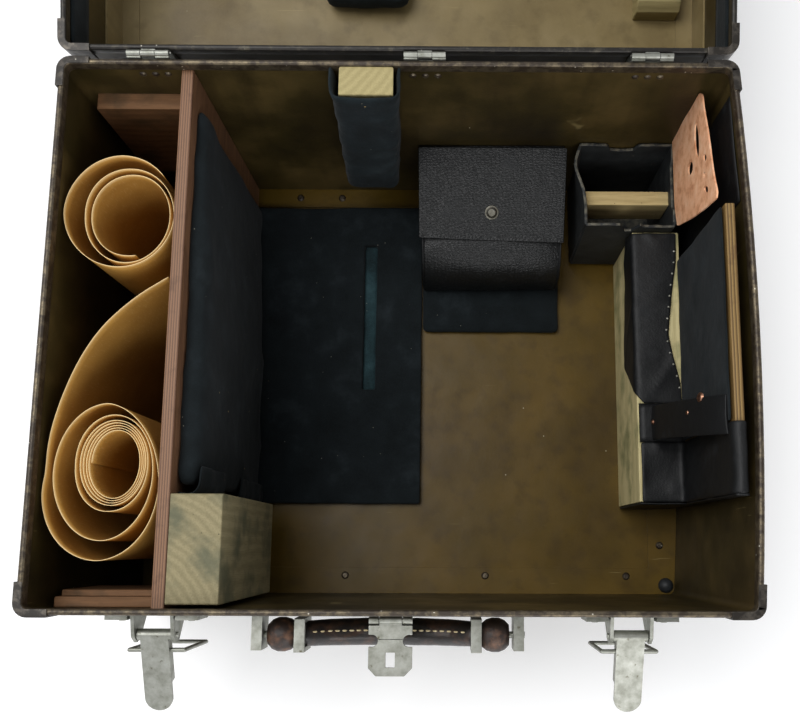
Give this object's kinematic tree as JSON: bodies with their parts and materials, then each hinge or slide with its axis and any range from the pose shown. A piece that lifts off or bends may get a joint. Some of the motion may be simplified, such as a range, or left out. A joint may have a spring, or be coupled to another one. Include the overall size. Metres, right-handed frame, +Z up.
{
  "type": "fitted instrument carrying case",
  "caption": "Open fitted sheet-metal carrying case for a desk barograph, with padded wells, pouch, accessory box, cradle, draw latches, hasp, leather handle and paper rolls.",
  "frame": {"origin": "centre of the base's underside, on the surface it stands on", "axes": "+X to the right seen from the latch side, +Y towards the hinges and the open lid, +Z up"},
  "size_m": [0.4296, 0.7554, 0.2566],
  "materials": {
    "enamel_dark": "worn olive-brown enamel on sheet steel",
    "enamel_floor": "satin khaki enamel on sheet steel",
    "rolled_edge": "rolled edge metal, worn and scuffed",
    "corner_metal": "pressed corner caps, scratched bright metal",
    "zinc_plate": "zinc or nickel plated steel, dull and spotted",
    "rivet_metal": "small rivet heads with paint on them",
    "stud_nickel": "nickel plated press stud",
    "copper": "copper tubular rivets, tarnished",
    "plywood": "varnished plywood with a worn top edge",
    "pale_wood": "pale wood, oiled and stained green",
    "brown_wood": "brown stained batten",
    "felt": "blue-black wool felt with dust specks",
    "leathercloth": "black grained leathercloth, semi-gloss",
    "box_board": "black covered fibre board with worn edges",
    "tan_leather": "undyed tan leather, scuffed",
    "handle_leather": "black saddle leather with cream stitching",
    "corner_rubber": "black rubber corner button",
    "chart_paper": "aged brown kraft paper"
  },
  "bodies": {
    "case": {"case_walls": "enamel_dark", "case_floor": "enamel_floor", "floor_flange": "enamel_floor", "rim_binding": "rolled_edge", "case_corner_caps": "corner_metal", "hasp_bracket": "zinc_plate", "latch_base_left": "zinc_plate", "latch_base_right": "zinc_plate", "handle_posts": "zinc_plate", "case_hinge_leaves": "zinc_plate", "flange_rivets": "rivet_metal", "hinge_rivets": "rivet_metal", "stud_socket": "stud_nickel", "copper_rivets": "copper", "divider_board": "plywood", "wall_board": "plywood", "corner_block": "pale_wood", "rear_post": "pale_wood", "box_divider": "pale_wood", "cradle_side": "pale_wood", "cradle_shelf": "pale_wood", "cradle_end": "pale_wood", "rear_cleat": "brown_wood", "front_cleat": "brown_wood", "divider_pad": "felt", "floor_pad": "felt", "post_felt": "felt", "pouch_base": "felt", "board_felt": "felt", "pouch_bag": "leathercloth", "cradle_cover": "leathercloth", "cradle_apron": "leathercloth", "end_strap": "leathercloth", "wall_lining": "leathercloth", "accessory_box": "box_board", "leather_partition": "tan_leather", "corner_plug": "corner_rubber"},
    "lid": {"lid_hinge_leaves": "zinc_plate", "lid_shell": "enamel_dark", "lid_rim": "rolled_edge", "lid_corner_caps": "corner_metal", "lid_frame": "enamel_floor", "lid_seal": "felt", "lid_pad": "felt", "lid_block": "pale_wood", "lid_catches": "zinc_plate", "hasp_staple": "zinc_plate"},
    "hasp": {"hasp_plate": "zinc_plate"},
    "handle": {"handle_knobs": "handle_leather", "handle_ferrules": "zinc_plate", "handle_grip": "handle_leather"},
    "latch_left": {"latch_lever_left": "zinc_plate"},
    "bail_left": {"latch_bail_left": "zinc_plate"},
    "latch_right": {"latch_lever_right": "zinc_plate"},
    "bail_right": {"latch_bail_right": "zinc_plate"},
    "flap": {"pouch_flap": "leathercloth", "stud_cap": "stud_nickel"},
    "roll_rear": {"paper_roll_rear": "chart_paper"},
    "roll_front": {"paper_roll_front": "chart_paper"}
  },
  "joints": [
    {"name": "lid_hinge", "type": "hinge", "parent": "case", "child": "lid", "pos_m": [0, 0.172, 0.196], "axis": [1, 0, 0], "range_deg": [0, 170]},
    {"name": "hasp_hinge", "type": "hinge", "parent": "case", "child": "hasp", "pos_m": [-0.0008, -0.1725, 0.178], "axis": [-1, 0, 0], "range_deg": [0, 90]},
    {"name": "handle_swing", "type": "hinge", "parent": "case", "child": "handle", "pos_m": [-0.0029, -0.182, 0.163], "axis": [-1, 0, 0], "range_deg": [0, 90]},
    {"name": "latch_lever_left", "type": "hinge", "parent": "case", "child": "latch_left", "pos_m": [-0.14, -0.182, 0.168], "axis": [1, 0, 0], "range_deg": [0, 68]},
    {"name": "latch_bail_left", "type": "hinge", "parent": "latch_left", "child": "bail_left", "pos_m": [-0.14, -0.19127, 0.16425], "axis": [1, 0, 0], "range_deg": [-248, 0]},
    {"name": "latch_lever_right", "type": "hinge", "parent": "case", "child": "latch_right", "pos_m": [0.14, -0.182, 0.168], "axis": [1, 0, 0], "range_deg": [0, 68]},
    {"name": "latch_bail_right", "type": "hinge", "parent": "latch_right", "child": "bail_right", "pos_m": [0.14, -0.19127, 0.16425], "axis": [1, 0, 0], "range_deg": [-248, 0]},
    {"name": "pouch_flap_hinge", "type": "hinge", "parent": "case", "child": "flap", "pos_m": [0.064, 0.1649, 0.087], "axis": [1, 0, 0], "range_deg": [-100, 0]},
    {"name": "roll_rear_lift", "type": "slide", "parent": "case", "child": "roll_rear", "axis": [0, 0, -1], "range_m": [-0.2, 0]},
    {"name": "roll_front_lift", "type": "slide", "parent": "case", "child": "roll_front", "axis": [0, 0, -1], "range_m": [-0.2, 0]}
  ],
  "couplings": [
    {"joint": "latch_bail_left", "follows": "latch_lever_left", "ratio": -3.647},
    {"joint": "latch_bail_right", "follows": "latch_lever_right", "ratio": -3.647}
  ]
}
